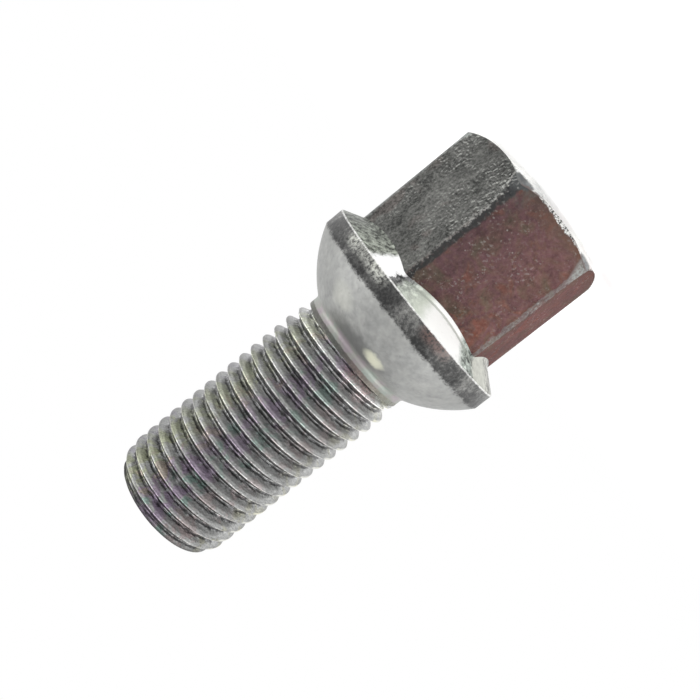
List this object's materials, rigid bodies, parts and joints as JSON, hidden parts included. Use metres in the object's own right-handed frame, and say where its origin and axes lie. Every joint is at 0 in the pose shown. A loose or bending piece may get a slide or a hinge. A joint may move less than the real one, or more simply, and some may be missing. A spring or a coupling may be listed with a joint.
{
  "type": "wheel bolt",
  "caption": "One-piece wheel bolt: a hexagonal head with a dished crown, a round collar with a ball seat, a short neck and a right-hand metric thread.",
  "frame": {"origin": "centre of the plane that the head's crown stands on, on the bolt's axis", "axes": "+Z along the bolt's axis from the head towards the thread's tip; +X through a corner of the hexagon"},
  "size_m": [0.023, 0.023, 0.0478],
  "materials": {
    "zinc_plated_steel": "dull grey zinc plating with a faint iridescent passivation, forged grain on the hexagon and thin rust-brown staining on two of its sides"
  },
  "bodies": {
    "root": {"wheel_bolt": "zinc_plated_steel"}
  },
  "joints": []
}
